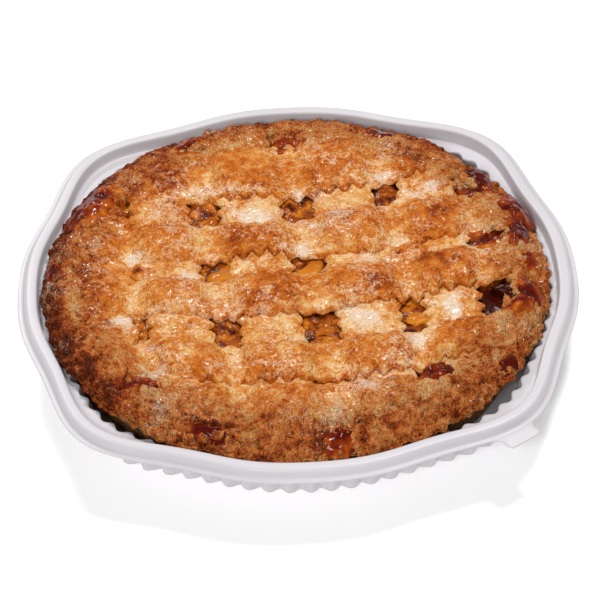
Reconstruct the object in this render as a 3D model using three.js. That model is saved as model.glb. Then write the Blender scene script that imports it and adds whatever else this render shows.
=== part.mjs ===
// A nine inch apple pie with a crinkle-cut lattice top, in its own fluted plastic tray.
// Millimetres, +Z up. The origin is on the ground under the middle of the tray.
import * as THREE from 'three';

// ---- Tray: one formed sheet with a round fluted well and a lobed square collar ----
const SHEET = 0.8;
const TRAY_REACH = 136.5;           // mean radius of the lip's outline
const LOBE_WAVES = [[4, -4.17], [8, 2.52], [12, -1.0]];   // waves that make the four corners
const LIP_Z = 28;
const RIM_Z = 32;
const LEDGE_Z = 26;
const LIP_WIDTH = 2.2;              // flat lip outside the skirt
const SKIRT_SLOPE = 1.9;
const RIM_WIDTH = 5.0;
const RIM_SLOPE = 1.2;
const WELL_TOP = 121.1;             // mean radius of the well at the ledge
const WELL_BOTTOM = 113.6;
const TOP_SWELL = 5.2;              // the well's edge spreads this much into each corner
const BOTTOM_SWELL = 8.0;           // and its foot this much
const CORNER_SHARPNESS = 5;
const FLUTES = 76;
const TOP_FLUTE_DEPTH = 2.4;
const BOTTOM_FLUTE_DEPTH = 3.0;
const TAB_OUT = 150.2;              // the pull tab's straight edge, from the tray's middle
const TAB_ANGLE = THREE.MathUtils.degToRad(-49.7);
const TAB_HALF_TURN = THREE.MathUtils.degToRad(3);

// ---- Pie ----
const PIE_SHIFT = new THREE.Vector2(-1.8, -2.2);   // it sits a little off the tray's centre
const PIE_TURN = THREE.MathUtils.degToRad(-1.7);
const GAP = 0.3;                    // left between pieces that touch
const FLOOR_CLEARANCE = 0.4;
const CRUST_FLOOR = 4.5;
const CRUST_WALL = 5.5;
const CRUST_BOTTOM = 108.9;
const CRUST_LEDGE = 115.6;          // radius just under the ledge
const CRUST_RIM = 121.6;            // widest, over the ledge
const CRUST_INSIDE = 113.4;
const RIM_LEAN = 2.6;               // the shell is this much narrower inside at the ledge
const RIM_TOP_Z = 37.8;
const DOME_EDGE_Z = 31.1;           // top of the filling at the rim
const DOME_RISE = 5.4;              // and how much higher it is in the middle
const CRUST_SIDES = 48;
const FILLING_SIDES = 32;

// ---- Lattice: crinkle-cut strips, one layer laid across the other ----
const STRIP_THICK = 3.0;
const STRIP_CROWN = 1.5;            // extra thickness along the middle
const STRIP_END = 113;              // radius where the strips meet the rim
const CRINKLE_PITCH = 8.2;
const CRINKLE_DEPTH = 3.0;
const LIFT = STRIP_THICK + GAP + 0.15;   // an upper strip's underside over a lower strip's
const SAG = 2.0;                    // drop of an upper strip between two lower ones
const SAG_MARGIN = 2.5;             // and how far from the lower ones it starts
// Each strip's line crosses the pie's centre line at "at"; "lean" is its slope and "bow" its curve.
const LOWER_STRIPS = [
  { at: -93.5, lean: -0.10, bow: 0.0002, width: 21 },
  { at: -59.0, lean: -0.14, bow: 0.0002, width: 28 },
  { at: -15.7, lean: -0.113, bow: 0, width: 30 },
  { at: 30.5, lean: -0.12, bow: 0, width: 30 },
  { at: 71.3, lean: -0.085, bow: 0, width: 28 },
  { at: 106.0, lean: -0.01, bow: -0.0004, width: 7 },
];
const UPPER_STRIPS = [
  { at: -92.5, lean: 0.03, bow: 0.0012, width: 24 },
  { at: -64.8, lean: 0.04, bow: 0.0018, width: 24 },
  { at: -18.3, lean: 0.10, bow: 0.0014, width: 28 },
  { at: 21.5, lean: 0.09, bow: 0.001, width: 29 },
  { at: 73.6, lean: 0.12, bow: 0.002, width: 41 },
];

const TAU = 2 * Math.PI;

function material(color, roughness) {
  return new THREE.MeshStandardMaterial({ color, roughness, metalness: 0 });
}

function lipRadius(angle) {
  let radius = TRAY_REACH;
  for (const [turns, height] of LOBE_WAVES) {
    radius += height * Math.cos(turns * angle);
  }
  return radius;
}

// The lip's outer edge: its lobes, and the pull tab's straight edge where that is.
function lipEdge(angle) {
  const away = Math.abs(angle - TAB_ANGLE);
  return away < TAB_HALF_TURN ? TAB_OUT / Math.cos(away) : lipRadius(angle);
}

// The well's wall: round, with a fluted surface, and swollen into each corner.
function wellRadius(angle, mean, swell, fluteDepth) {
  const corner = Math.pow((1 - Math.cos(4 * angle)) / 2, CORNER_SHARPNESS);
  return mean + swell * corner + (fluteDepth / 2) * Math.cos(FLUTES * angle);
}

// Turns a profile about Z. Each profile point is { z, radius(angle) }, and may have a rise(angle)
// that is added to its z.
function turned(profile, sides) {
  const flat = profile.map((point, index) => new THREE.Vector2(point.centre ? 0 : 1 + index, index));
  const geometry = new THREE.LatheGeometry(flat, sides);
  const position = geometry.attributes.position;
  for (let i = 0; i < position.count; i++) {
    const point = profile[i % profile.length];
    const step = Math.floor(i / profile.length) % sides;
    const angle = THREE.MathUtils.euclideanModulo((step / sides) * TAU + Math.PI, TAU) - Math.PI;
    const radius = point.centre ? 0 : point.radius(angle);
    const rise = point.rise ? point.rise(angle) : 0;
    position.setXYZ(i, radius * Math.cos(angle), radius * Math.sin(angle), point.z + rise);
  }
  geometry.computeVertexNormals();
  return geometry;
}

function tray() {
  const skirt = LIP_WIDTH + SKIRT_SLOPE;
  const rim = skirt + RIM_WIDTH;
  const foot = rim + RIM_SLOPE;
  const fromLip = (inward, z) => ({ z, radius: (angle) => lipRadius(angle) - inward });
  const edge = (z) => ({ z, radius: lipEdge });
  const wellTop = (out, z) => ({
    z,
    radius: (angle) => wellRadius(angle, WELL_TOP + out, TOP_SWELL, TOP_FLUTE_DEPTH),
  });
  const wellBottom = (out, z) => ({
    z,
    radius: (angle) => wellRadius(angle, WELL_BOTTOM + out, BOTTOM_SWELL, BOTTOM_FLUTE_DEPTH),
  });
  const profile = [
    { z: 0, centre: true },
    wellBottom(SHEET, 0),
    wellTop(SHEET, LEDGE_Z - SHEET),
    fromLip(foot - SHEET, LEDGE_Z - SHEET),
    fromLip(rim - SHEET, RIM_Z - SHEET),
    fromLip(skirt + SHEET, RIM_Z - SHEET),
    fromLip(LIP_WIDTH + SHEET / 2, LIP_Z - SHEET),
    edge(LIP_Z - SHEET),
    edge(LIP_Z),
    fromLip(LIP_WIDTH, LIP_Z),
    fromLip(skirt, RIM_Z),
    fromLip(rim, RIM_Z),
    fromLip(foot, LEDGE_Z),
    wellTop(0, LEDGE_Z),
    wellBottom(0, SHEET),
    { z: SHEET, centre: true },
  ];
  const mesh = new THREE.Mesh(turned(profile, 2 * FLUTES), material(0xe9e6e4, 0.35));
  mesh.name = 'tray';
  return mesh;
}

function domeHeight(radius) {
  return DOME_EDGE_Z + DOME_RISE * (1 - (radius / STRIP_END) ** 2);
}

// Baked pastry is uneven: slow waves round the rim, in its width and its height.
function unevenWidth(angle) {
  return 0.35 * Math.sin(5 * angle + 1) + 0.25 * Math.sin(11 * angle + 2);
}

function unevenHeight(angle) {
  return 0.7 * Math.sin(3 * angle + 0.5) + 0.6 * Math.sin(8 * angle + 2.5);
}

function bottomCrust() {
  const floor = SHEET + FLOOR_CLEARANCE;
  const ring = (radius, z) => ({ z, radius: () => radius });
  const side = (radius, z) => ({ z, radius: (angle) => radius + unevenWidth(angle) });
  const rim = (radius, z) => ({ ...side(radius, z), rise: unevenHeight });
  const profile = [
    { z: floor, centre: true },
    ring(CRUST_BOTTOM, floor),
    ring(CRUST_LEDGE, LEDGE_Z - 1.5),
    ring(CRUST_LEDGE + 1.9, LEDGE_Z + 1.2),
    side(CRUST_RIM - 0.4, LEDGE_Z + 4),
    rim(CRUST_RIM - 0.8, RIM_TOP_Z - 4.8),
    rim(CRUST_RIM - 3.4, RIM_TOP_Z - 2.4),
    { ...ring(CRUST_INSIDE, RIM_TOP_Z), rise: unevenHeight },
    ring(CRUST_INSIDE, DOME_EDGE_Z - 1),
    ring(CRUST_INSIDE - RIM_LEAN, LEDGE_Z),
    ring(CRUST_BOTTOM - CRUST_WALL, floor + CRUST_FLOOR + 1),
    { z: floor + CRUST_FLOOR, centre: true },
  ];
  const mesh = new THREE.Mesh(turned(profile, CRUST_SIDES), material(0xa9622b, 0.7));
  mesh.name = 'bottom_crust';
  return mesh;
}

function filling() {
  const floor = SHEET + FLOOR_CLEARANCE + CRUST_FLOOR + GAP;
  const top = (radius) => ({ z: domeHeight(radius) - GAP, radius: () => radius });
  const profile = [
    { z: floor, centre: true },
    { z: floor + 1, radius: () => CRUST_BOTTOM - CRUST_WALL - 2 * GAP },
    { z: LEDGE_Z, radius: () => CRUST_INSIDE - RIM_LEAN - 2 * GAP },
    { z: DOME_EDGE_Z - 1, radius: () => CRUST_INSIDE - 2 * GAP },
    top(CRUST_INSIDE - 2 * GAP),
    top(STRIP_END * 0.72),
    top(STRIP_END * 0.4),
    { z: domeHeight(0) - GAP, centre: true },
  ];
  const mesh = new THREE.Mesh(turned(profile, FILLING_SIDES), material(0x9c4a12, 0.25));
  mesh.name = 'filling';
  return mesh;
}

// Where a strip's line, "side" away from its middle, runs into the rim: how far along it is.
function reach(strip, side, direction) {
  let along = direction * STRIP_END;
  for (let i = 0; i < 40; i++) {
    const across = strip.at + side + strip.lean * along + strip.bow * along * along;
    const left = Math.max(STRIP_END * STRIP_END - across * across, 1);
    along = 0.5 * (along + direction * Math.sqrt(left));
  }
  return along;
}

function overLowerStrip(x, y) {
  for (const strip of LOWER_STRIPS) {
    const middle = strip.at + strip.lean * y + strip.bow * y * y;
    const clear = (strip.width + CRINKLE_DEPTH + CRINKLE_PITCH) / 2 + SAG_MARGIN;
    if (Math.abs(x - middle) < clear) {
      return true;
    }
  }
  return false;
}

// One strip: a lens-shaped section swept along the strip, its long edges in zigzag teeth.
function latticeStrip(strip, upper) {
  const section = new THREE.Shape();
  section.moveTo(-1, 0);
  section.lineTo(1, 0);
  section.lineTo(1, 1);
  if (upper) {
    section.lineTo(0, 2);
  }
  section.lineTo(-1, 1);
  section.closePath();
  const length = reach(strip, 0, 1) - reach(strip, 0, -1);
  const steps = 2 * Math.round(length / CRINKLE_PITCH);
  const geometry = new THREE.ExtrudeGeometry(section, { steps, depth: 1, bevelEnabled: false });
  const position = geometry.attributes.position;
  for (let i = 0; i < position.count; i++) {
    const column = Math.round(position.getZ(i) * steps);
    const tooth = (column % 2 === 0 ? 0.5 : -0.5) * CRINKLE_DEPTH;
    const side = position.getX(i) * (strip.width / 2 + tooth);
    const layer = position.getY(i);
    const share = column / steps;
    const along = reach(strip, side, -1) * (1 - share) + reach(strip, side, 1) * share;
    const across = strip.at + side + strip.lean * along + strip.bow * along * along;
    const x = upper ? along : across;
    const y = upper ? across : along;
    const lift = upper ? LIFT - (overLowerStrip(x, y) ? 0 : SAG) : 0;
    const thickness = [0, STRIP_THICK, STRIP_THICK + STRIP_CROWN][Math.round(layer)];
    position.setXYZ(i, x, y, domeHeight(Math.hypot(x, y)) + lift + thickness);
  }
  if (!upper) {
    turnInsideOut(geometry);
  }
  geometry.computeVertexNormals();
  return geometry;
}

function turnInsideOut(geometry) {
  const position = geometry.attributes.position;
  const corner = new THREE.Vector3();
  const other = new THREE.Vector3();
  for (let i = 0; i < position.count; i += 3) {
    corner.fromBufferAttribute(position, i + 1);
    other.fromBufferAttribute(position, i + 2);
    position.setXYZ(i + 1, other.x, other.y, other.z);
    position.setXYZ(i + 2, corner.x, corner.y, corner.z);
  }
}

function lattice() {
  const group = new THREE.Group();
  LOWER_STRIPS.forEach((strip, index) => {
    const mesh = new THREE.Mesh(latticeStrip(strip, false), material(0xd9a25c, 0.6));
    mesh.name = `lower_strip_${index + 1}`;
    group.add(mesh);
  });
  UPPER_STRIPS.forEach((strip, index) => {
    const mesh = new THREE.Mesh(latticeStrip(strip, true), material(0xc98342, 0.6));
    mesh.name = `upper_strip_${index + 1}`;
    group.add(mesh);
  });
  return group;
}

const pie = new THREE.Group();
pie.add(bottomCrust(), filling(), lattice());
pie.position.set(PIE_SHIFT.x, PIE_SHIFT.y, 0);
pie.rotation.z = PIE_TURN;

const model = new THREE.Group();
model.add(tray(), pie);

export default model;
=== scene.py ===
"""A nine inch apple pie with a crinkle-cut lattice top, in its fluted plastic tray."""

import math

import bpy
import numpy as np
from mathutils import Matrix, Vector


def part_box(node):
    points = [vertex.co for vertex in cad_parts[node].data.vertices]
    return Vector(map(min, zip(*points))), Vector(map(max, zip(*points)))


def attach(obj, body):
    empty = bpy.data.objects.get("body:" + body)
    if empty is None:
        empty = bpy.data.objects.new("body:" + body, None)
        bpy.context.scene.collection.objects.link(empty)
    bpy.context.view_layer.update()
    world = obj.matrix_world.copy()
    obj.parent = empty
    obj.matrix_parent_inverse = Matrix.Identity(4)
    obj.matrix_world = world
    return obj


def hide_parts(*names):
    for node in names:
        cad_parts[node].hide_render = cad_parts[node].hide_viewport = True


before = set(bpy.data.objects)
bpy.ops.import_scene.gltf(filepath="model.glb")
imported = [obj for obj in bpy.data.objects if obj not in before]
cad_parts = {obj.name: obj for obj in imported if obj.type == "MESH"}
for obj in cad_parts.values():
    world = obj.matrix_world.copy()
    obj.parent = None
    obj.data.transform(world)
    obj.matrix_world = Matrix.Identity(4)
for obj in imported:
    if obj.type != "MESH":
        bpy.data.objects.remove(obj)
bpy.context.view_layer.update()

MM = 0.001
TAU = 2 * math.pi

# ---- Tray, in millimetres: one formed sheet with a round fluted well and a lobed square collar ----
SHEET = 0.7
TRAY_REACH = 136.5
LOBE_WAVES = ((4, -4.17), (8, 2.52), (12, -1.0))
LIP_Z, RIM_Z, LEDGE_Z = 28.0, 32.0, 26.0
WELL_TOP, WELL_BOTTOM = 121.1, 113.7
TOP_SWELL, BOTTOM_SWELL = 5.2, 8.0      # how far the well's edge and its foot spread into each corner
FLUTES, TOP_FLUTE, BOTTOM_FLUTE = 76, 2.4, 3.0
FOOT_INWARD = 10.3
TAB_TURN = math.radians(-49.5)

# ---- Pie: its middle comes from the frame ----
crust_low, crust_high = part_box("bottom_crust")
PIE_X = (crust_low.x + crust_high.x) / 2 / MM
PIE_Y = (crust_low.y + crust_high.y) / 2 / MM
PIE_TURN = math.radians(-1.7)
BASE_EDGE, BASE_RISE = 32.8, 3.6        # the bed that the strips lie on
BASE_RADIUS = 113                       # where the bed's low dome ends
ROLL_START, ROLL_RADIUS = 104.4, 24.0   # where the pie's top rolls over towards its side
CRUST_EDGE = 121.6
RIM_START = 101.0                       # inner edge of the crust's rim
SHELL_COLUMNS = 860
FILLING_EDGE, FILLING_DEPTH = 108, 12

# ---- Lattice: crinkle-cut strips, one layer laid across the other ----
LOWER_RISE, UPPER_RISE = 3.8, 2.2       # how far a strip's crown stands over its bed
UNDERSIDE = 0.9                         # how far its belly hangs below its edges
CRINKLE_PITCH = 7.8
LOWER_TEETH = {-1: 3.2, 1: 3.2}         # depth of the crinkle on a strip's low and high side
UPPER_TEETH = {-1: 4.4, 1: 2.6}
STRIP_REACH = 120.4
# Each strip's line crosses the pie's centre line at "at"; lean is its slope and bow its curve.
# A spread is where the dough ran while it baked: along the strip, to its low (-1) or high (1)
# side, by so much, over such a length.
LOWER_STRIPS = (
    dict(at=-93.5, lean=-0.10, bow=0.0002, width=21,
         spreads=((0, 1, 6.5, 12), (-41, 1, 5.2, 9), (-75, 1, -6, 7), (36, 1, 8, 11))),
    dict(at=-59.0, lean=-0.14, bow=0.0002, width=28,
         spreads=((0, -1, 4, 9), (-75, -1, 2, 6), (-50, -1, 2.5, 5))),
    dict(at=-15.7, lean=-0.113, bow=0.0, width=30, spreads=()),
    dict(at=30.5, lean=-0.12, bow=0.0, width=30, spreads=((4, 1, 8, 9),)),
    dict(at=71.3, lean=-0.085, bow=0.0, width=28, spreads=((4, -1, 6, 9), (42, -1, 7.0, 10))),
    dict(at=106.0, lean=-0.01, bow=-0.0004, width=7, spreads=()),
)
UPPER_STRIPS = (
    dict(at=-92.5, lean=0.03, bow=0.0012, width=24,
         spreads=((-28, 1, 3, 14), (16, 1, 3, 14), (60, 1, -2, 8), (18, -1, 3.5, 18))),
    dict(at=-64.8, lean=0.04, bow=0.0018, width=24, spreads=((-68, 1, 4, 10),)),
    dict(at=-18.3, lean=0.10, bow=0.0014, width=28,
         spreads=((-86, 1, 5.5, 20), (-70, -1, -3.5, 7))),
    dict(at=21.5, lean=0.09, bow=0.001, width=29,
         spreads=((-15, 1, -3.5, 18), (-15, -1, -3.5, 18), (45, 1, 3.5, 30), (45, -1, 3.5, 30),
                  (-86, -1, 5, 20))),
    dict(at=73.6, lean=0.12, bow=0.002, width=41, spreads=((94, -1, 5, 12),)),
)
for each in LOWER_STRIPS:
    each["teeth"] = LOWER_TEETH
for each in UPPER_STRIPS:
    each["teeth"] = UPPER_TEETH
MESH_STEP = 0.75                        # size of the pastry's mesh faces

# Where the crust browned more (+) or less (-): x, y, patch size, how much.
BROWNED = (
    (-25, 17, 13, 0.18), (-62, 20, 12, 0.06), (28, 20, 14, 0.04), (62, 36, 11, 0.03), (78, 32, 9, 0.03),
    (-2, -18, 8, 0.12), (32, -20, 9, 0.1), (44, -14, 7, 0.08), (57, 2, 9, 0.2), (72, -6, 10, 0.03),
    (-30, -64, 9, 0.08), (-48, -70, 11, 0.1), (34, -56, 12, 0.04), (72, -50, 14, 0.05),
    (-72, 80, 12, 0.02), (-85, 38, 9, 0.1), (-60, 72, 14, 0.08), (-22, 60, 6, 0.14), (-6, 68, 7, 0.1),
    (22, 72, 12, 0.12), (12, 58, 5, 0.08), (60, 78, 12, 0.12), (-100, -8, 9, 0.03),
    (-95, -28, 8, -0.04), (-62, -50, 9, 0.05), (84, -34, 5, 0.2), (-45, 16, 8, -0.16),
    (-76, -14, 15, -0.16), (-50, -18, 9, -0.1), (-62, -34, 9, -0.1), (50, -28, 8, -0.1),
    (-20, 38, 10, -0.1), (32, -38, 10, -0.12), (30, 44, 10, -0.05), (-15, 2, 9, -0.06),
    (3, 55, 8, -0.16), (2, -60, 10, -0.1), (16, -64, 7, -0.1), (40, 14, 12, -0.08), (30, 8, 12, -0.06),
    (62, -16, 8, -0.12), (-48, 52, 7, -0.08), (-75, 48, 7, -0.1), (18, -90, 10, -0.08),
    (48, -92, 12, -0.06), (-14, -90, 12, -0.06), (88, -52, 14, 0.04), (100, 34, 8, -0.04),
    (-92, -48, 8, -0.08), (-12, 78, 8, -0.08), (-20, -33, 9, -0.06), (-38, -107, 6, 0.2),
    (40, -104, 6, 0.2), (-84, -74, 10, 0.12), (-75, 2, 2.8, 0.5), (-12, -50, 7, 0.1), (95, -1, 14, 0.22),
    (-60, 55, 14, 0.06),
)
# Where sugar glaze stayed white: x, y, length, width, how much.
GLAZED = (
    (-20, 38, 11, 6, 0.45), (-77, 10, 4, 3, 1.0), (-82, -34, 8, 3, 0.8), (3, 52, 4, 10, 0.6),
    (-25, 56, 22, 2.5, 0.5), (-10, 90, 9, 3, 0.5), (-98, 18, 9, 6, 0.5), (-16, 2, 9, 4, 0.4),
    (30, -37, 11, 6, 0.45), (16, -86, 6, 5, 0.5), (74, -30, 3, 8, 0.7), (56, -50, 4, 5, 0.5),
    (-52, 18, 5, 9, 0.4), (-62, -8, 14, 5, 0.4), (-58, -28, 12, 4, 0.5), (4, 12, 4, 8, 0.35),
    (50, -14, 6, 3, 0.5), (36, 2, 12, 3, 0.3), (-66, -70, 8, 4, 0.3), (-58, -88, 14, 6, 0.35),
    (40, -86, 14, 5, 0.35), (46, 66, 5, 10, 0.3), (75, 62, 10, 4, 0.25), (-40, 62, 10, 3, 0.3),
    (14, -104, 30, 2.2, 0.2), (-34, -100, 20, 3, 0.18), (-94, 0, 6, 12, 0.25),
    (-88, -40, 8, 5, 0.3), (-20, -34, 10, 3, 0.35), (62, 8, 12, 3, 0.3), (-6, -70, 14, 3, 0.3),
)


# ---------------------------------------------------------------- numbers
def smooth(low, high, x):
    """0 below low, 1 above high, and a soft step between."""
    t = np.clip((x - low) / (high - low), 0, 1)
    return t * t * (3 - 2 * t)


def blotches(x, y, size, seed):
    """Smooth random patches of one size, from -1 to 1."""
    x = np.asarray(x) / size + 57.3 * seed
    y = np.asarray(y) / size - 31.7 * seed
    left, low = np.floor(x), np.floor(y)
    across, up = smooth(0, 1, x - left), smooth(0, 1, y - low)

    def corner(i, j):
        """A number from 0 to 1 that looks random but is the same for the same corner."""
        wave = np.sin(i * 127.1 + j * 311.7) * 43758.5453
        return wave - np.floor(wave)

    near = corner(left, low) * (1 - across) + corner(left + 1, low) * across
    far = corner(left, low + 1) * (1 - across) + corner(left + 1, low + 1) * across
    return 2 * (near * (1 - up) + far * up) - 1


def pie_to_world(x, y):
    """From the pie's own plan, whose middle is 0, to the part's plan."""
    turn_x, turn_y = math.cos(PIE_TURN), math.sin(PIE_TURN)
    return PIE_X + turn_x * x - turn_y * y, PIE_Y + turn_y * x + turn_x * y


def world_to_pie(x, y):
    turn_x, turn_y = math.cos(PIE_TURN), math.sin(PIE_TURN)
    x, y = x - PIE_X, y - PIE_Y
    return turn_x * x + turn_y * y, turn_x * y - turn_y * x


# ---------------------------------------------------------------- making pieces
def clear_selection():
    bpy.ops.object.select_all(action="DESELECT")


def named(name):
    piece = bpy.context.object
    piece.name = name
    piece.data.name = name
    return piece


def make_active(piece):
    clear_selection()
    piece.select_set(True)
    bpy.context.view_layer.objects.active = piece


def grid(name, columns, rows):
    """A flat square of faces, one metre across before it is shaped."""
    clear_selection()
    bpy.ops.mesh.primitive_grid_add(x_subdivisions=columns, y_subdivisions=rows, size=1)
    return named(name)


def places(piece):
    """The x, y and z of all points, in metres."""
    flat = np.empty(len(piece.data.vertices) * 3)
    piece.data.vertices.foreach_get("co", flat)
    return flat.reshape(-1, 3).T


def put(piece, x, y, z):
    """Moves all points, to places in metres."""
    flat = np.column_stack((x, y, z)).ravel()
    piece.data.vertices.foreach_set("co", flat)
    piece.data.update()


def close_seams(piece, gap=1e-6):
    make_active(piece)
    bpy.ops.object.mode_set(mode="EDIT")
    bpy.ops.mesh.select_all(action="SELECT")
    bpy.ops.mesh.remove_doubles(threshold=gap)
    bpy.ops.mesh.normals_make_consistent(inside=False)
    bpy.ops.object.mode_set(mode="OBJECT")


def modify(piece, kind, **settings):
    make_active(piece)
    modifier = piece.modifiers.new(kind.title(), kind)
    for name, value in settings.items():
        setattr(modifier, name, value)
    bpy.ops.object.modifier_apply(modifier=modifier.name)


def roughen(piece, size, height, kind="CLOUDS", group=""):
    """Pushes the surface in and out by a cloudy texture, sizes in millimetres."""
    texture = bpy.data.textures.new(f"{piece.name}_{kind.lower()}_{size}", kind)
    texture.noise_scale = size * MM
    settings = dict(texture=texture, texture_coords="LOCAL", strength=height * MM, mid_level=0.5)
    if group:
        settings["vertex_group"] = group
    modify(piece, "DISPLACE", **settings)


def weigh(piece, name, weights, levels=10):
    """A vertex group whose weights follow the given ones in ten levels."""
    group = piece.vertex_groups.new(name=name)
    steps = np.rint(np.clip(weights, 0, 1) * levels).astype(int)
    for step in range(1, levels + 1):
        group.add(np.nonzero(steps == step)[0].tolist(), step / levels, "REPLACE")


def attribute(piece, name, values):
    """A number at every point, which the material reads."""
    layer = piece.data.attributes.new(name, "FLOAT", "POINT")
    layer.data.foreach_set("value", np.asarray(values, dtype=float))


def finish_piece(piece, material, slot, *nodes):
    make_active(piece)
    bpy.ops.object.shade_smooth()
    piece.data.materials.clear()
    piece.data.materials.append(material)
    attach(piece, "root")
    if nodes:
        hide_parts(*nodes)


# ---------------------------------------------------------------- materials
class Wire:
    """One value in a material. Arithmetic on it adds Math nodes."""

    def __init__(self, shader, socket):
        self.shader = shader
        self.socket = socket

    def math(self, operation, first, second):
        return self.shader.add("ShaderNodeMath", {"operation": operation}, {0: first, 1: second})

    def __add__(self, other):
        return self.math("ADD", self, other)

    def __radd__(self, other):
        return self.math("ADD", other, self)

    def __sub__(self, other):
        return self.math("SUBTRACT", self, other)

    def __rsub__(self, other):
        return self.math("SUBTRACT", other, self)

    def __mul__(self, other):
        return self.math("MULTIPLY", self, other)

    def __rmul__(self, other):
        return self.math("MULTIPLY", other, self)

    def between(self, low, high):
        """0 at low, 1 at high, and a soft step between."""
        sockets = {"Value": self, "From Min": low, "From Max": high}
        return self.shader.add("ShaderNodeMapRange", {"interpolation_type": "SMOOTHSTEP"}, sockets)


def set_stops(elements, stops):
    while len(elements) < len(stops):
        elements.new(0.5)
    for element, (position, colour) in zip(elements, stops):
        element.position = position
        element.color = (*colour, 1)


class Shader:
    """A material with one Principled surface, built from wires."""

    def __init__(self, name, **surface):
        self.material = bpy.data.materials.new(name)
        self.material.use_nodes = True
        self.tree = self.material.node_tree
        self.surface = self.tree.nodes["Principled BSDF"]
        for socket, value in surface.items():
            self.set(socket.replace("_", " "), value)
        self.place = self.add("ShaderNodeTexCoord", output="Object")

    def add(self, kind, settings=None, sockets=None, output=0):
        node = self.tree.nodes.new(kind)
        for name, value in (settings or {}).items():
            if name == "stops":
                set_stops(node.color_ramp.elements, value)
            else:
                setattr(node, name, value)
        for key, value in (sockets or {}).items():
            self.connect(node.inputs[key], value)
        return Wire(self, node.outputs[output])

    def connect(self, socket, value):
        if isinstance(value, Wire):
            self.tree.links.new(value.socket, socket)
        else:
            socket.default_value = value

    def set(self, socket, value):
        self.connect(self.surface.inputs[socket], value)

    def attribute(self, name):
        return self.add("ShaderNodeAttribute", {"attribute_name": name}, output="Fac")

    def noise(self, size, detail, roughness=0.55):
        """Cloudy noise from 0 to 1 whose patches are about size millimetres across."""
        scale = 1 / (size * MM)
        sockets = {"Vector": self.place, "Scale": scale, "Detail": detail, "Roughness": roughness}
        return self.add("ShaderNodeTexNoise", None, sockets)

    def ramp(self, value, stops):
        return self.add("ShaderNodeValToRGB", {"stops": stops}, {"Fac": value})

    def mix(self, share, first, second):
        settings = {"data_type": "RGBA", "clamp_factor": True}
        return self.add("ShaderNodeMix", settings, {0: share, 6: first, 7: second}, output=2)

    def bump(self, height, depth, strength):
        sockets = {"Height": height, "Distance": depth * MM, "Strength": strength}
        return self.add("ShaderNodeBump", None, sockets)


CREAM = (0.80, 0.50, 0.225)
STRAW = (0.73, 0.345, 0.095)
GOLD = (0.63, 0.208, 0.034)
AMBER = (0.53, 0.124, 0.009)
BROWN = (0.31, 0.053, 0.004)
UMBER = (0.145, 0.021, 0.002)
DOUGH = (0.52, 0.26, 0.11)     # the shell's side, under its rim
STRIP_DUST_AND_GLINT = (0.85, 0.57, 0.34)     # sugar dust on the strips, and their painted glints
ROSY = (0.87, 0.44, 0.19)      # sugar dust on the rim, and its painted glints
ICING = (0.83, 0.65, 0.50)
STRIP_STOPS = ((0.02, CREAM), (0.2, STRAW), (0.38, GOLD), (0.58, AMBER), (0.8, BROWN), (1.0, UMBER))
RIM_STOPS = (
    (0.02, (0.87, 0.46, 0.19)), (0.25, (0.83, 0.315, 0.085)), (0.48, (0.73, 0.190, 0.036)),
    (0.72, (0.43, 0.076, 0.014)), (1.0, (0.14, 0.021, 0.004)),
)
FILLING_STOPS = ((0.36, (0.035, 0.003, 0.001)), (0.5, (0.22, 0.040, 0.003)), (0.64, (0.52, 0.15, 0.010)))
APPLE_STOPS = (
    (0.0, (0.035, 0.004, 0.001)), (0.2, (0.15, 0.022, 0.002)), (0.45, (0.36, 0.085, 0.006)),
    (0.75, (0.58, 0.20, 0.013)), (1.0, (0.72, 0.31, 0.022)),
)
SYRUP_STOPS = (
    (0.1, (0.07, 0.004, 0.001)), (0.35, (0.20, 0.020, 0.002)), (0.6, (0.40, 0.085, 0.006)),
    (0.85, (0.60, 0.23, 0.020)),
)
PLASTIC_STOPS = ((0.3, (0.54, 0.515, 0.54)), (0.7, (0.57, 0.545, 0.565)))


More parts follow.
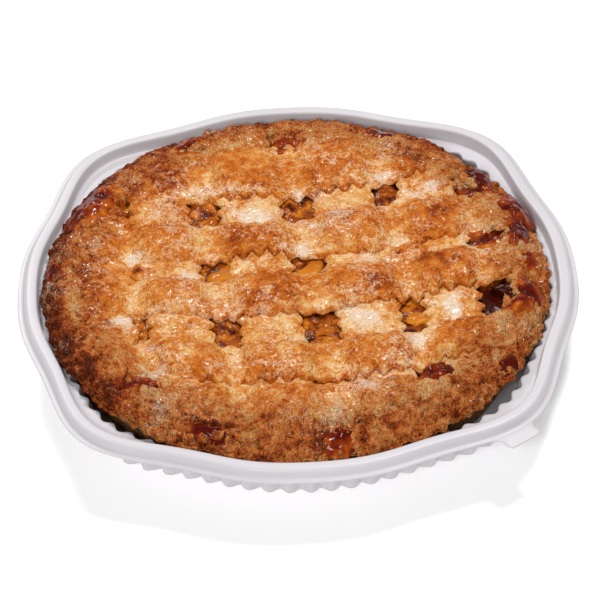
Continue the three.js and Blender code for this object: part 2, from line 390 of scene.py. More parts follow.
def pastry_material():
    """Baked crust. Pieces give it toast (browning, with some painted shade and light), sugar, raw and
    coarse, which is 1 on the crumbly rim.
    """
    shader = Shader("baked_pastry", Specular_IOR_Level=0.05, Coat_Roughness=0.2)
    toast = shader.attribute("toast")
    sugar = shader.attribute("sugar")
    raw = shader.attribute("raw")
    coarse = shader.attribute("coarse")
    clouds = shader.noise(12, 3.0)
    mottle = shader.noise(4.6, 1.0, roughness=0.6)
    grains = shader.noise(2.5, 2.0, roughness=0.65)
    crumbs = shader.noise(1.3, 2.0)
    grit = grains * 0.5 + crumbs * 0.5
    veil = shader.noise(5.2, 4.0, roughness=0.65)
    # sugar dust and painted glints: lighter specks on the crests of the grain's bump
    dust_and_glint_flecks = (grit + (veil - 0.5) * 0.3 + (sugar - 0.3) * 0.15 - coarse * 0.03).between(0.5, 0.58)
    # painted shade: the tone darker in the hollows of the grain's bump
    pit_shade = grit.between(0.48, 0.38)
    tone = toast + 0.11 + (clouds - 0.5) * (0.5 + coarse * 0.25) + (mottle - 0.5) * (0.8 + coarse * 0.35)
    tone = tone + (grains - 0.5) * (0.3 + coarse * 0.45)
    tone = tone - coarse * 0.13 + pit_shade * (0.14 + coarse * 0.2) - dust_and_glint_flecks * 0.16
    baked = shader.mix(coarse * 0.95, shader.ramp(tone, STRIP_STOPS), shader.ramp(tone, RIM_STOPS))
    bloom = (veil + (sugar - 0.3) * 0.35).between(0.46, 0.66)
    dust_and_glint = shader.mix(coarse * 0.8, (*STRIP_DUST_AND_GLINT, 1), (*ROSY, 1))
    baked = shader.mix(bloom * (0.34 - coarse * 0.12) + dust_and_glint_flecks * (0.2 + coarse * 0.1), baked, dust_and_glint)
    film = shader.noise(8, 3.0)
    icing = (sugar + (film - 0.5) * 1.3 + (crumbs - 0.5) * 0.5).between(0.45, 1.05)
    baked = shader.mix(icing * (0.85 - coarse * 0.25), baked, (*ICING, 1))
    shader.set("Base Color", shader.mix(raw, baked, (*DOUGH, 1)))
    shader.set("Roughness", 0.62 - icing * 0.15)
    shader.set("Coat Weight", 0.04 + icing * 0.12 + dust_and_glint_flecks * (0.36 + coarse * 0.3))
    shader.set("Normal", shader.bump(grit * (0.8 + coarse * 2.0), 5.0, 1.0))
    return shader.material


def filling_material():
    shader = Shader("apple_syrup", Roughness=0.1, Specular_IOR_Level=0.1)
    patches = shader.noise(6, 3.0)
    burnt = shader.attribute("burnt")
    shader.set("Base Color", shader.ramp(patches - burnt * 0.3, FILLING_STOPS))
    shader.set("Normal", shader.bump(shader.noise(2.4, 2.0), 1.0, 0.7))
    return shader.material


def chunk_material():
    shader = Shader("baked_apple", Specular_IOR_Level=0.11)
    ripe = shader.attribute("ripe")
    shader.set("Roughness", 0.2 - ripe.between(-1.0, 0.0) * 0.12)
    patches = shader.noise(6, 3.0)
    shader.set("Base Color", shader.ramp(ripe - 0.03 + (patches - 0.5) * 0.3, APPLE_STOPS))
    shader.set("Normal", shader.bump(shader.noise(4.0, 1.0), 1.4, 0.7))
    return shader.material


def spill_material():
    shader = Shader("boiled_syrup", Roughness=0.1, Specular_IOR_Level=0.11)
    thin = shader.attribute("thin")
    patches = shader.noise(6, 3.0)
    shader.set("Base Color", shader.ramp(thin - 0.05 + (patches - 0.5), SYRUP_STOPS))
    shader.set("Normal", shader.bump(shader.noise(5.5, 1.0), 2.2, 0.8))
    return shader.material


def plastic_material():
    shader = Shader("tray_plastic", Specular_IOR_Level=0.35)
    cloud = shader.noise(40, 2.0)
    haze = shader.noise(1.2, 2.0)
    shader.set("Base Color", shader.ramp(cloud, PLASTIC_STOPS))
    shader.set("Roughness", 0.34 + haze * 0.1)
    shader.set("Normal", shader.bump(haze, 0.05, 0.3))
    return shader.material


# ---------------------------------------------------------------- tray
def lobe(angle):
    """How far the collar's outline stands out or in at an angle."""
    total = 0
    for turns, height in LOBE_WAVES:
        total = total + height * np.cos(turns * angle)
    return total


def tray_profile():
    """Rings of the sheet's upper face, from the middle out: nominal radius and height."""
    lip = TRAY_REACH
    foot = TRAY_REACH - FOOT_INWARD
    rings = [(r, SHEET) for r in (30, 60, 85, 100, 106, 109)]
    rings += [(111.2, SHEET + 0.25), (112.5, SHEET + 0.9), (WELL_BOTTOM - 0.2, SHEET + 2.0)]
    wall_steps = 8
    for step in range(1, wall_steps + 1):
        share = step / wall_steps
        radius = WELL_BOTTOM + (WELL_TOP - 0.8 - WELL_BOTTOM) * share
        rings.append((radius, SHEET + 2.1 + (LEDGE_Z - 4.2) * share))
    rings += [(120.6, 25.5), (121.1, 25.9), (121.8, LEDGE_Z), (123.0, LEDGE_Z), (124.6, LEDGE_Z)]
    rings += [(foot - 0.5, LEDGE_Z + 0.1), (foot + 0.05, LEDGE_Z + 0.5), (foot + 0.3, LEDGE_Z + 1.4)]
    rings += [(foot + 0.6, LEDGE_Z + 3), (foot + 0.9, RIM_Z - 1.1), (foot + 1.25, RIM_Z - 0.35)]
    rings += [(foot + 1.8, RIM_Z - 0.05), (foot + 2.6, RIM_Z), (foot + 3.9, RIM_Z)]
    rings += [(foot + 5.2, RIM_Z - 0.02), (foot + 5.9, RIM_Z - 0.2), (foot + 6.4, RIM_Z - 0.7)]
    rings += [(foot + 6.8, RIM_Z - 1.5)]
    rings += [(lip - 2.9, LIP_Z + 1.2), (lip - 2.5, LIP_Z + 0.4), (lip - 2.0, LIP_Z + 0.08)]
    rings += [(lip - 1.2, LIP_Z + 0.02), (lip - 0.5, LIP_Z), (lip, LIP_Z - 0.1)]
    rings += [(lip + 0.05, LIP_Z - 0.5)]
    return rings


def make_tray(material):
    columns = FLUTES * 10
    rings = tray_profile()
    clear_selection()
    bpy.ops.mesh.primitive_circle_add(vertices=columns, radius=rings[0][0] * MM, fill_type="TRIFAN",
                                      location=(0, 0, rings[0][1] * MM))
    tray = named("formed_tray")
    bpy.ops.object.transform_apply(location=True)
    bpy.ops.object.mode_set(mode="EDIT")
    bpy.ops.mesh.select_mode(type="EDGE")
    bpy.ops.mesh.select_all(action="SELECT")
    bpy.ops.mesh.region_to_loop()
    radius, height = rings[0]
    for next_radius, next_height in rings[1:]:
        bpy.ops.mesh.extrude_edges_move(
            TRANSFORM_OT_translate={"value": (0, 0, (next_height - height) * MM)})
        ratio = next_radius / radius
        bpy.ops.transform.resize(value=(ratio, ratio, 1), center_override=(0, 0, 0))
        radius, height = next_radius, next_height
    bpy.ops.object.mode_set(mode="OBJECT")
    shape_tray(tray)
    close_seams(tray)
    modify(tray, "SOLIDIFY", thickness=SHEET * MM, offset=-1, use_even_offset=True)
    finish_piece(tray, material, "tray_plastic", "tray")


def shape_tray(tray):
    """Gives the round rings their flutes, their four corner lobes and the pull tab."""
    x, y, z = places(tray) / MM
    radius, angle = np.hypot(x, y), np.arctan2(y, x)
    corner = ((1 - np.cos(4 * angle)) / 2) ** 5
    wave = np.cos(FLUTES * angle)
    flute = (wave + 0.12 * (1 - wave**2)) / 2
    up_wall = smooth(WELL_BOTTOM, WELL_TOP, radius)
    spread = corner * (BOTTOM_SWELL + (TOP_SWELL - BOTTOM_SWELL) * up_wall)
    spread = spread * smooth(60, WELL_BOTTOM, radius)
    depth = BOTTOM_FLUTE + (TOP_FLUTE - BOTTOM_FLUTE) * up_wall + 1.4 * corner * (1 - up_wall)
    depth = depth * smooth(WELL_BOTTOM - 4, WELL_BOTTOM, radius)
    foot = TRAY_REACH - FOOT_INWARD
    share = np.clip((radius - WELL_TOP) / (foot - WELL_TOP), 0, 1)
    ledge = (WELL_TOP + TOP_SWELL * corner + TOP_FLUTE * flute) * (1 - share)
    ledge = ledge + (foot + lobe(angle)) * share
    outside = radius + lobe(angle)
    new_radius = np.where(radius < WELL_TOP, radius + spread + depth * flute,
                          np.where(radius < foot, ledge, outside))
    turn, out = tab_place(angle)
    on_tab = smooth(TRAY_REACH - 1.4, TRAY_REACH - 0.4, radius) * (out > 0)
    new_radius = new_radius + on_tab * out
    angle = angle + on_tab * turn
    put(tray, new_radius * np.cos(angle) * MM, new_radius * np.sin(angle) * MM, z * MM)


def tab_place(angle):
    """Where the lip's edge goes at the pull tab: its turn, and how far out. The tab is straight-ended,
    with round corners and a fillet at each side of its root."""
    root, half, length, corner, fillet = 10.8, 8.5, 7.4, 1.5, 2.3
    quarter = np.linspace(0, math.pi / 2, 7)
    rise, run = np.sin(quarter), np.cos(quarter)
    across = np.concatenate((root - fillet * rise, half - corner + corner * run, [0]))
    out = np.concatenate((fillet - fillet * run, length - corner + corner * rise, [length]))
    path = np.concatenate(([0], np.cumsum(np.hypot(np.diff(across), np.diff(out)))))
    away = (angle - TAB_TURN) * TRAY_REACH
    walked = np.clip(1 - np.abs(away) / root, 0, 1) * path[-1]
    new_across = np.sign(away) * np.interp(walked, path, across)
    bulge = (TRAY_REACH + 6) * (1 / np.cos(new_across / 150) - 1)
    reach_out = np.interp(walked, path, out)
    turn = np.where(walked > 0, new_across / (TRAY_REACH + reach_out) - away / TRAY_REACH, 0)
    return turn, np.where(walked > 0, reach_out + bulge * (reach_out > 4), 0)


# ---------------------------------------------------------------- pie surfaces
def base(radius):
    """Height of the bed that the strips lie on."""
    over = np.clip(radius - ROLL_START, 0, ROLL_RADIUS * 0.9)
    roll = ROLL_RADIUS - np.sqrt(ROLL_RADIUS**2 - over**2)
    return BASE_EDGE + BASE_RISE * (1 - (np.minimum(radius, BASE_RADIUS) / BASE_RADIUS) ** 2) - roll


def line_of(strip, along):
    """Where the strip's middle line is, across the strip."""
    return strip["at"] + strip["lean"] * along + strip["bow"] * along**2


def half_width(strip, along, side):
    """Half the strip's width with its crinkle-cut teeth, uneven along its length."""
    seed = strip["at"] + 10 * side
    swell = blotches(along, 0 * along + seed, 22, 9)
    for place, spread_side, amount, length in strip["spreads"]:
        if side == spread_side:
            swell = swell + amount * np.exp(-(((along - place) / length) ** 2))
    drift = blotches(along, 0 * along + seed, 30, 3) * 0.9
    phase = math.pi * along / CRINKLE_PITCH + drift + seed
    teeth = 0.55 * (1 - 2 * np.abs(np.sin(phase)) ** 0.9) + 0.45 * np.cos(2 * phase)
    crisp = 1 - 0.8 * smooth(32, 58, -along) - 0.5 * smooth(68, 92, along)
    size = np.clip(0.85 + 0.7 * blotches(along, 0 * along - seed, 21, 5), 0.15, 1.15) * crisp
    return strip["width"] / 2 + swell - strip["teeth"][side] / 2 * teeth * size


def across_share(strip, along, across):
    """Where a point lies across a strip: 0 on its line, 1 or -1 at its edges."""
    offset = across - line_of(strip, along)
    left = half_width(strip, along, -1)
    right = half_width(strip, along, 1)
    return np.where(offset < 0, offset / left, offset / right)


def fused(x):
    """1 at the left, where the strips baked into one crust, and 0 where they stay apart."""
    return smooth(36, 62, -x)


def crown_of(share, square=3.2):
    """Full height over most of a strip, rounding down to its edges: a lower square is a softer dome."""
    away = np.clip(np.abs(share), 0, 1)
    return np.sqrt(1 - away**square * 0.9999)


def lower_support(x, y):
    """How far the lower strips lift what lies on them, soft at their edges."""
    lift = np.zeros_like(x)
    for strip in LOWER_STRIPS:
        away = np.abs(x - line_of(strip, y)) - strip["width"] / 2
        lift = np.maximum(lift, 1 - smooth(-6, 4.5, away))
    return lift


def rim_share(x, y):
    """0 on the pie's flat top and 1 at its edge."""
    return smooth(98, 117, np.hypot(x, y))


def rim_support(x, y):
    """How far the crust's rim lifts the strips' ends."""
    return 2.3 * smooth(88, 104, np.hypot(x, y))


def lower_middle(x, y):
    """Height of a lower strip's edges, with its sag."""
    sag = 0.6 * blotches(x, y, 16, 2) - 0.2 + 0.8 * fused(x)
    return base(np.hypot(x, y)) + UNDERSIDE + sag + rim_support(x, y)


def lower_crown(x, y, share):
    """How far a lower strip's top stands over its edges."""
    return (LOWER_RISE - UNDERSIDE) * crown_of(share) * (1 - 0.15 * rim_share(x, y))


def upper_middle(x, y, share):
    """Height of an upper strip's edges, which climb over the lower strips."""
    lift = lower_support(x, y)
    edge = np.clip(np.abs(share), 0, 1) ** 4
    bed = np.maximum(LOWER_RISE * 0.93 * lift - 1.3 * edge * lift, 1.3 * rim_support(x, y))
    return base(np.hypot(x, y)) + bed + UNDERSIDE - 0.4 * (1 - lift) - 1.7 * edge * fused(x)


def upper_crown(x, y, share):
    """How far an upper strip's top stands over its edges, puffed where it crosses a lower one."""
    lift = lower_support(x, y)
    fade = 1 - 0.2 * rim_share(x, y)
    dome = crown_of(share, 3.0 - 1.5 * fused(x))
    pillow = 1.1 * lift * (1 - share**2)
    puff = (0.7 * blotches(x, y, 15, 4) + 0.3 * blotches(x, y, 7, 6)) * dome
    return ((UPPER_RISE + 0.4) * dome + pillow + puff) * fade


def rim_top(radius, angle):
    """Height of the crust's lumpy rim."""
    x, y = radius * np.cos(angle), radius * np.sin(angle)
    lumps = 0.9 * blotches(x, y, 9, 12) + 0.5 * blotches(x, y, 4, 13)
    return base(radius) + 4.4 + lumps - 3.5 * (1 - smooth(RIM_START, 108, radius))


def filling_top(x, y):
    """Height of the filling under the strips."""
    lumps = 0.9 * blotches(x, y, 8, 21) + 0.6 * blotches(x, y, 3.4, 22)
    return base(np.hypot(x, y)) - 0.6 + lumps


def height_at(x, y):
    """The highest pastry or filling at a place, which syrup then lies on."""
    height = filling_top(x, y)
    for strip in LOWER_STRIPS:
        share = across_share(strip, y, x)
        top = lower_middle(x, y) + lower_crown(x, y, share)
        height = np.where(np.abs(share) < 1, np.maximum(height, top), height)
    for strip in UPPER_STRIPS:
        share = across_share(strip, x, y)
        top = upper_middle(x, y, share) + upper_crown(x, y, share)
        height = np.where(np.abs(share) < 1, np.maximum(height, top), height)
    radius = np.hypot(x, y)
    return np.where(radius > 108, np.maximum(height, rim_top(radius, np.arctan2(y, x))), height)


def settled_height(x, y, spread):
    """The height about a place, levelled as a thick liquid does."""
    total = 0
    for turn in np.arange(6) * TAU / 6:
        total = total + height_at(x + spread * np.cos(turn), y + spread * np.sin(turn))
    return (total + 2 * height_at(x, y)) / 8


def toast_and_shade_at(x, y, crown):
    """How brown the crust is: more on top of the pillows and towards the rim, with a dark seam along the
    front of the rim, and with painted shade darkening its left and painted light paling its front right."""
    radius = np.hypot(x, y)
    # painted shade: the whole top a little darker towards its left, away from the key lamp
    side = (-0.8 * x - 0.15 * y) / 115
    # painted light: the outer band paler towards the front right
    pale_front = smooth(-0.2, 0.9, (0.45 * x - 0.9 * y) / np.maximum(radius, 1))
    toast = 0.215 + 0.2 * crown + (0.05 - 0.05 * pale_front) * smooth(74, 96, radius)
    toast = toast + (0.03 - 0.08 * pale_front) * smooth(84, 98, radius) + 0.22 * smooth(106, 117, radius)
    # painted shade: the rim darker at its left
    toast = toast + 0.4 * smooth(108, 117, radius) * smooth(0.55, 1.0, -x / np.maximum(radius, 1))
    seam = np.exp(-(((radius - 109.3 - 1.6 * blotches(x, y, 14, 77)) / 1.4) ** 2))
    seam = seam * smooth(0.5, 0.8, -y / np.maximum(radius, 1))
    toast = toast + 0.35 * seam * np.clip(0.6 + 0.8 * blotches(x, y, 9, 78), 0, 1)
    toast = toast + 0.07 * side * smooth(30, 110, radius) + 0.08 * blotches(x, y, 5.5, 33)
    toast = toast + 0.1 * blotches(x, y, 24, 31) + 0.12 * blotches(x, y, 11, 32)
    for spot_x, spot_y, size, amount in BROWNED:
        toast = toast + amount * np.exp(-(((x - spot_x) ** 2 + (y - spot_y) ** 2) / size**2))
    return toast


def sugar_at(x, y, crown):
    """How much sugar glaze lies on the crust: patches of it, more in the hollows, less on the rim."""
    sugar = 0.22 + 0.28 * blotches(x, y, 19, 41) + 0.22 * blotches(x, y, 8, 42) + 0.2 * (0.6 - crown)
    sugar = sugar - 0.1 * smooth(88, 104, np.hypot(x, y))
    for spot_x, spot_y, length, width, amount in GLAZED:
        away = ((x - spot_x) / length) ** 2 + ((y - spot_y) / width) ** 2
        sugar = sugar + amount * np.exp(-away)
    return sugar


# ---------------------------------------------------------------- pastry pieces
def reach(strip, side, direction):
    """How far along a line, side away from the strip's middle, the strip meets the pie's edge."""
    along = direction * STRIP_REACH * np.ones_like(side)
    for _ in range(40):
        across = line_of(strip, along) + side
        left = np.maximum(STRIP_REACH**2 - across**2, 1)
        along = 0.5 * (along + direction * np.sqrt(left))
    return along


def strip_section(columns):
    """Shares across a strip and up its section, round from one edge, over the top and back under."""
    over = np.linspace(-1, 1, columns)
    over = over * (1.3 - 0.3 * over**2)
    under = np.linspace(1, -1, columns // 3)[1:]
    share = np.concatenate((over, under))
    rise = np.concatenate((np.ones(columns), -np.ones(len(under))))
    return share, rise


def make_strip(name, node, strip, upper, material):
    """One strip of the lattice: a grid wrapped round the strip's section, then baked rough."""
    share, rise = strip_section(int(strip["width"] / MESH_STEP) + 8)
    middle = np.zeros(1)
    length = float(reach(strip, middle, 1)[0] - reach(strip, middle, -1)[0])
    piece = grid(name, int(length / MESH_STEP), len(share) - 1)
    u, v, _ = places(piece)
    row = np.rint((v + 0.5) * (len(share) - 1)).astype(int)
    share, rise = share[row], rise[row]
    side = share * strip["width"] / 2
    start, end = reach(strip, side, -1), reach(strip, side, 1)
    start = start - 1.6 * blotches(side, 0 * side + strip["at"], 7, 61)
    end = end + 1.6 * blotches(side, 0 * side + strip["at"], 7, 62)
    along = start * (0.5 - u) + end * (0.5 + u)
    half = np.where(share < 0, half_width(strip, along, -1), half_width(strip, along, 1))
    across = line_of(strip, along) + share * half
    x, y = (along, across) if upper else (across, along)
    from_end = np.clip((0.5 - np.abs(u)) * length / 2.5, 0, 1)
    closing = np.sqrt(1 - (1 - from_end) ** 2)
    level = upper_middle(x, y, share) if upper else lower_middle(x, y)
    crown = upper_crown(x, y, share) if upper else lower_crown(x, y, share)
    belly = (UNDERSIDE + (0.5 if upper else 0.0)) * crown_of(share)
    height = level + np.where(rise > 0, crown, -belly) * closing
    world_x, world_y = pie_to_world(x, y)
    put(piece, world_x * MM, world_y * MM, height * MM)
    close_seams(piece, 2e-5)
    x, y = world_to_pie(*(places(piece)[:2] / MM))
    weigh(piece, "crumbly", smooth(90, 110, np.hypot(x, y)) * (0.6 + 0.4 * smooth(-20, 60, -y)))
    roughen(piece, 4.5, -4.0, "VORONOI", "crumbly")
    roughen(piece, 2.0, 2.0, group="crumbly")
    roughen(piece, 3.6, 0.9)
    roughen(piece, 1.6, 1.0)
    x, y = world_to_pie(*(places(piece)[:2] / MM))
    share = across_share(strip, x, y) if upper else across_share(strip, y, x)
    edge = smooth(0.78, 1.0, np.abs(share))
    if upper:
        crown = lower_support(x, y) * (1 - 0.5 * np.clip(np.abs(share), 0, 1) ** 3)
        # a pale line inside the front edge: partly real sugar glaze, partly a painted highlight where the
        # strip rolls over
        glaze_and_highlight_line = np.exp(-(((share + 0.76) / 0.06) ** 2)) * smooth(-0.3, 0.5, blotches(x, y, 13, 63))
        # browner teeth on the front edges: partly real browning, partly painted shade on the faces turned
        # away from the key lamp
        tip_browning_and_shade = 0.24 * smooth(0.84, 0.98, -share) * (1 - fused(x))
        toast = toast_and_shade_at(x, y, crown) + tip_browning_and_shade - 0.05 * edge - 0.12 * glaze_and_highlight_line
        sugar = sugar_at(x, y, crown) + 0.2 * glaze_and_highlight_line - 0.12 * edge
    else:
        crown = -0.3 + 0.6 * fused(x) + 0.9 * smooth(88, 108, np.hypot(x, y))
        toast = toast_and_shade_at(x, y, crown) + 0.05 * edge
        sugar = sugar_at(x, y, np.clip(crown, 0, 1)) - 0.15 * edge
    attribute(piece, "toast", toast)
    attribute(piece, "sugar", sugar)
    attribute(piece, "raw", 0 * x)
    attribute(piece, "coarse", smooth(86, 108, np.hypot(x, y)))
    finish_piece(piece, material, "lattice_crust", node)


def make_crust_shell(material):
    """The bottom crust: its profile of radius and height, where no height means the rim's top."""
    rolled = [(r, None) for r in np.linspace(RIM_START, CRUST_EDGE - 0.6, 26)]
    rolled += [(CRUST_EDGE - 0.1, 30.6), (CRUST_EDGE, 29.8), (CRUST_EDGE, 29.0)]
    outer = [(CRUST_EDGE - 0.2, 28.2), (CRUST_EDGE - 0.8, 27.4), (118.6, 26.9), (115.4, 26.5)]
    outer += [(113.4, 25.0)]
    outer += [(113.2 - 0.4 * step, 25.0 - 1.9 * step) for step in range(1, 12)]
    outer += [(108.0, 2.2), (106.5, 1.4), (60.0, 1.3), (0.0, 1.3)]
    inner = [(0.0, 5.5), (60.0, 5.5), (98.0, 5.7), (99.5, 16.0), (100.6, 27.0), (100.9, 30.0)]
    profile = rolled + outer + inner + [(RIM_START, None)]
    piece = grid("crust_shell", SHELL_COLUMNS, len(profile) - 1)
    u, v, _ = places(piece)
    angle = (u + 0.5) * TAU
    ring = np.rint((v + 0.5) * (len(profile) - 1)).astype(int)
    radius = np.array([r for r, _ in profile])[ring]
    fixed = np.array([-1 if z is None else z for _, z in profile])[ring]
    x, y = radius * np.cos(angle), radius * np.sin(angle)
    height = np.where(fixed < 0, rim_top(radius, angle), fixed)
    uneven = 0.35 * np.sin(5 * angle + 1) + 0.25 * np.sin(11 * angle + 2)
    ragged = 0.5 * blotches(x, y, 4, 51) + 0.9 * blotches(x, y, 9, 52)
    on_rim = (ring <= len(rolled) + 3) * smooth(110, 118, radius)
    radius = radius + on_rim * (0.6 * uneven + np.minimum(ragged, 0.6) - 0.8)
    x, y = pie_to_world(radius * np.cos(angle), radius * np.sin(angle))
    put(piece, x * MM, y * MM, height * MM)
    close_seams(piece, 2e-6)
    weigh(piece, "rim", smooth(25 * MM, 28 * MM, places(piece)[2]))
    roughen(piece, 5.0, -4.2, "VORONOI", "rim")
    roughen(piece, 3.0, 2.0, group="rim")
    roughen(piece, 1.7, 1.5, group="rim")
    x, y = world_to_pie(*(places(piece)[:2] / MM))
    z = places(piece)[2] / MM
    attribute(piece, "toast", toast_and_shade_at(x, y, 0.4 + 0 * x) - 0.02)
    attribute(piece, "sugar", sugar_at(x, y, 1 + 0 * x))
    attribute(piece, "raw", 1 - smooth(25.6, 27.4, z + 0.5 * blotches(x, y, 6, 53)))
    attribute(piece, "coarse", 1 + 0 * x)
    finish_piece(piece, material, "rim_crust", "bottom_crust")


# ---------------------------------------------------------------- filling
def disc(name, count):
    """A grid whose squares are pushed out into a disc: the piece, and each point's share and angle."""
    piece = grid(name, count, count)
    u, v, _ = places(piece)
    return piece, np.maximum(np.abs(u), np.abs(v)) * 2, np.arctan2(v, u)


def make_filling(material):
    """The filling's bed, charred in the gap at the right, with painted shade darkening one gap at the
    back.
    """
    piece, share, angle = disc("apple_filling", 190)
    x, y = FILLING_EDGE * share * np.cos(angle), FILLING_EDGE * share * np.sin(angle)
    world_x, world_y = pie_to_world(x, y)
    put(piece, world_x * MM, world_y * MM, filling_top(x, y) * MM)
    burnt = np.exp(-((x - 98) ** 2 + (y + 20) ** 2) / 12**2)
    # the gap at the right is charred; the smaller amount at the gap at the back is painted shade
    attribute(piece, "burnt", burnt + 0.4 * np.exp(-((x - 45) ** 2 + (y - 47) ** 2) / 9**2))
    modify(piece, "SOLIDIFY", thickness=FILLING_DEPTH * MM, offset=-1)
    finish_piece(piece, material, "apple_filling", "filling")


# Apple chunks that show in the gaps: x, y, size, how far its top stands over the bed, turn, ripeness.
CHUNKS = (
    (-42, 32, 15, 0.7, 0.5, 0.55), (-46, 43, 9, -2.0, 0.2, 0.1), (-1, 35, 12, 0.5, 0.9, 0.4),
    (7, 41, 9, 0.3, 0.3, 0.35), (43, 43, 10, 0.0, 0.8, 0.08), (46, 54, 9, -2.0, 0.4, 0.02),
    (-38, -1, 15, 1.7, 0.2, 0.6), (-40, -14, 9, 0.2, 0.7, 0.35), (8, -2, 15, 1.7, 0.6, 0.68),
    (98, -15, 8, 3.8, -0.3, -0.1), (103, -19, 7, 3.6, -0.9, -0.15), (97, -24, 16, -0.8, 0.3, 0.12),
    (-33, -50, 13, 0.4, 0.4, 0.42),
    (12, -39, 11, 0.3, 0.2, 0.45), (14, -51, 12, 1.1, 0.9, 0.65), (57, -35, 12, 1.4, 0.5, 0.7),
    (56, -46, 9, 0.5, 0.1, 0.4), (99, 25, 11, 2.8, 0.5, 0.3), (88, 17, 8, 2.4, 0.2, 0.12),
    (-72, -76, 11, 1.2, 0.3, 0.3), (60, -76, 9, 0.8, 0.6, 0.2), (-70, -41, 8, -0.8, 0.2, 0.02),
)


def make_chunks(material):
    """Uneven rounded pieces of apple, joined into one piece."""
    pieces = []
    for number, (x, y, size, rise, turn, ripe) in enumerate(CHUNKS, 1):
        clear_selection()
        bpy.ops.mesh.primitive_cube_add(size=size * MM)
        chunk = named(f"apple_chunk_{number}")
        modify(chunk, "BEVEL", width=size * 0.3 * MM, segments=4, limit_method="NONE")
        modify(chunk, "SUBSURF", levels=2, render_levels=2)
        cx, cy, cz = places(chunk) / MM
        cz = cz * 0.7
        push = 1 + 0.34 * blotches(cx + 3 * number, cy + cz, size * 0.38, number)
        long = 1.3 if ripe < 0 else 1.15
        cx, cy, cz = cx * push * long, cy * push / long, cz * push
        px = x + cx * math.cos(turn) - cy * math.sin(turn)
        py = y + cx * math.sin(turn) + cy * math.cos(turn)
        top = base(math.hypot(x, y)) + rise - 0.3
        pz = top + (cz - cz.max()) + 0.12 * cx
        world_x, world_y = pie_to_world(px, py)
        put(chunk, world_x * MM, world_y * MM, pz * MM)
        # painted shade: each chunk darker towards the back, where the crust over its gap shades it
        attribute(chunk, "ripe", ripe - 0.3 * (py - y) / size)
        pieces.append(chunk)
    clear_selection()
    for chunk in pieces:
        chunk.select_set(True)
    bpy.context.view_layer.objects.active = pieces[0]
    bpy.ops.object.join()
    chunks = named("apple_chunks")
    roughen(chunks, 4.0, 1.6)
    roughen(chunks, 1.8, 0.7)
    finish_piece(chunks, material, "apple_filling")


# Syrup that boiled out over the crust: x, y, length, width, turn, thickness, how light it is.
SPILLS = (
    (-96, 51, 19, 12, 1.05, 2.2, 0.42), (-50, 96, 9, 9, 0.2, 2.4, 0.42), (-2, 98, 8, 11, 0.1, 1.7, 0.3),
    (46, 102, 8, 7, 0.3, 2.0, 0.26), (92, 66, 8, 13, 0.2, 3.2, 0.3), (109, 42, 8, 14, 0.3, 3.6, 0.36),
    (88, 56, 8, 7, 0.3, 4.4, 0.24), (108, 23, 6, 14, -0.15, 3.2, 0.2), (95, 20, 12, 7, 0.4, 2.6, 0.3),
    (110, -22, 7, 14, -0.1, 3.8, 0.42), (98, -66, 4, 6, -0.6, 2.4, 0.1), (104, -30, 9, 6, 0.4, 3.4, 0.38),
    (-115, 6, 5, 7, 0.1, 2.2, 0.35), (-74, -75, 9, 6, -0.15, 4.0, 0.28), (17, -113, 7, 7, 0.1, 2.2, 0.46),
    (62, -74, 9, 6, 0.1, 3.4, 0.16), (-39, -107, 12, 3.5, -0.3, 1.6, 0.2), (112, 2, 5, 9, 0.1, 2.0, 0.55),
)


def make_spills(material):
    """Lumpy pools of syrup that follow the crust under them, joined into one piece."""
    pieces = []
    for number, (x, y, length, width, turn, thick, light) in enumerate(SPILLS, 1):
        piece, share, angle = disc(f"syrup_spill_{number}", int(3.2 * max(length, width)))
        outline = 1 + 0.3 * blotches(4 * np.cos(angle), 4 * np.sin(angle), 3.1, 70 + number)
        outline = outline + 0.2 * blotches(4 * np.cos(angle), 4 * np.sin(angle), 1.3, 90 + number)
        along = share * outline * length * np.cos(angle)
        across = share * outline * width * np.sin(angle)
        px = x + along * math.cos(turn) - across * math.sin(turn)
        py = y + along * math.sin(turn) + across * math.cos(turn)
        lumps = 0.9 * blotches(px, py, 5.5, 80) + 0.5 * blotches(px, py, 2.8, 81)
        pool = settled_height(px, py, 2.5) - 0.7 + (thick + lumps) * (1 - share**2.4) ** 0.8
        world_x, world_y = pie_to_world(px, py)
        put(piece, world_x * MM, world_y * MM, pool * MM)
        outer = smooth(96, 118, np.hypot(px, py))
        attribute(piece, "thin", light + 0.1 + 0.3 * (share - 0.6) + 0.2 * lumps - 0.2 * outer)
        modify(piece, "SOLIDIFY", thickness=1.6 * MM, offset=-1)
        pieces.append(piece)
    clear_selection()
    for piece in pieces:
        piece.select_set(True)
    bpy.context.view_layer.objects.active = pieces[0]
    bpy.ops.object.join()
    spills = named("syrup_spills")
    finish_piece(spills, material, "apple_filling")


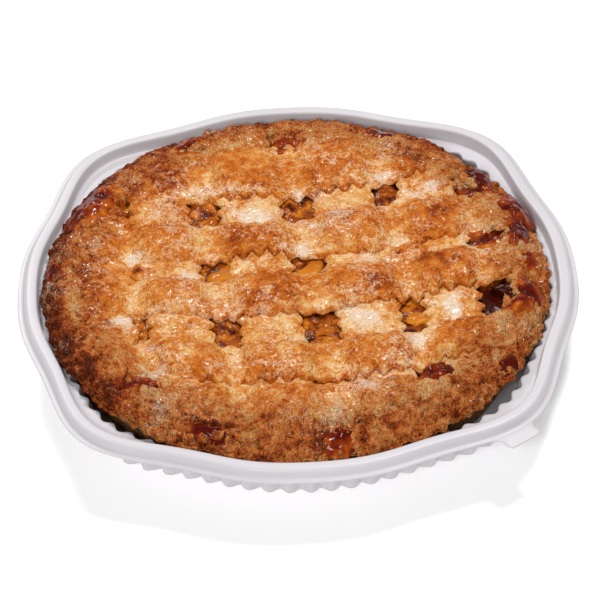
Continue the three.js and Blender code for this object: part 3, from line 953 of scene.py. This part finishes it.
# ---------------------------------------------------------------- stage
def make_stage():
    """A pale floor, a white studio and three soft lamps."""
    clear_selection()
    bpy.ops.mesh.primitive_plane_add(size=8)
    floor = named("floor")
    shader = Shader("pale_floor", Roughness=0.9, Base_Color=(0.93, 0.93, 0.93, 1),
                    Emission_Color=(1, 1, 1, 1), Emission_Strength=0.22)
    floor.data.materials.append(shader.material)
    world = bpy.data.worlds.new("studio")
    bpy.context.scene.world = world
    world.use_nodes = True
    world.node_tree.nodes["Background"].inputs["Color"].default_value = (1, 1, 1, 1)
    world.node_tree.nodes["Background"].inputs["Strength"].default_value = 0.32
    softbox("key_softbox", (0.35, 0.5, 1.35), 0.3, 12.5)
    softbox("sparkle_softbox", (-0.45, 1.1, 1.0), 0.2, 7)
    softbox("front_softbox", (-0.3, -1.15, 0.95), 0.4, 12)


def softbox(name, place, size, power):
    """A round soft lamp that faces the pie."""
    light = bpy.data.lights.new(name, "AREA")
    light.shape = "DISK"
    light.size = size
    light.energy = power
    lamp = bpy.data.objects.new(name, light)
    bpy.context.scene.collection.objects.link(lamp)
    lamp.location = place
    lamp.rotation_euler = (-Vector(place)).to_track_quat("-Z", "Y").to_euler()


def make_camera():
    """Looks down at the pie from the front, a little turned and rolled."""
    rise, turn, roll = math.radians(41.84), math.radians(1.67), math.radians(-1.61)
    distance = 1.3176
    aim_up, aim_right = 0.00687, 0.000875
    level = math.cos(rise)
    away = Vector((-level * math.sin(turn), -level * math.cos(turn), math.sin(rise)))
    right = Vector((math.cos(turn), -math.sin(turn), 0))
    up = away.cross(right)
    rolled_up = up * math.cos(roll) - right * math.sin(roll)
    right = right * math.cos(roll) + up * math.sin(roll)
    up = rolled_up
    back = (away + up * aim_up - right * aim_right).normalized()
    right = up.cross(back).normalized()
    up = back.cross(right)
    camera_data = bpy.data.cameras.new("camera")
    camera_data.lens = 165.1
    camera_data.sensor_width = 36
    camera = bpy.data.objects.new("camera", camera_data)
    bpy.context.scene.collection.objects.link(camera)
    place = Vector((0, 0, LIP_Z * MM)) + away * distance
    camera.matrix_world = Matrix.Translation(place) @ Matrix((right, up, back)).transposed().to_4x4()
    bpy.context.scene.camera = camera


make_camera()
make_stage()
bpy.context.scene.view_settings.view_transform = "Standard"

pastry = pastry_material()
make_tray(plastic_material())
make_crust_shell(pastry)
make_filling(filling_material())
make_chunks(chunk_material())
make_spills(spill_material())
for number, strip in enumerate(LOWER_STRIPS, 1):
    make_strip(f"front_to_back_strip_{number}", f"lower_strip_{number}", strip, False, pastry)
for number, strip in enumerate(UPPER_STRIPS, 1):
    make_strip(f"side_to_side_strip_{number}", f"upper_strip_{number}", strip, True, pastry)
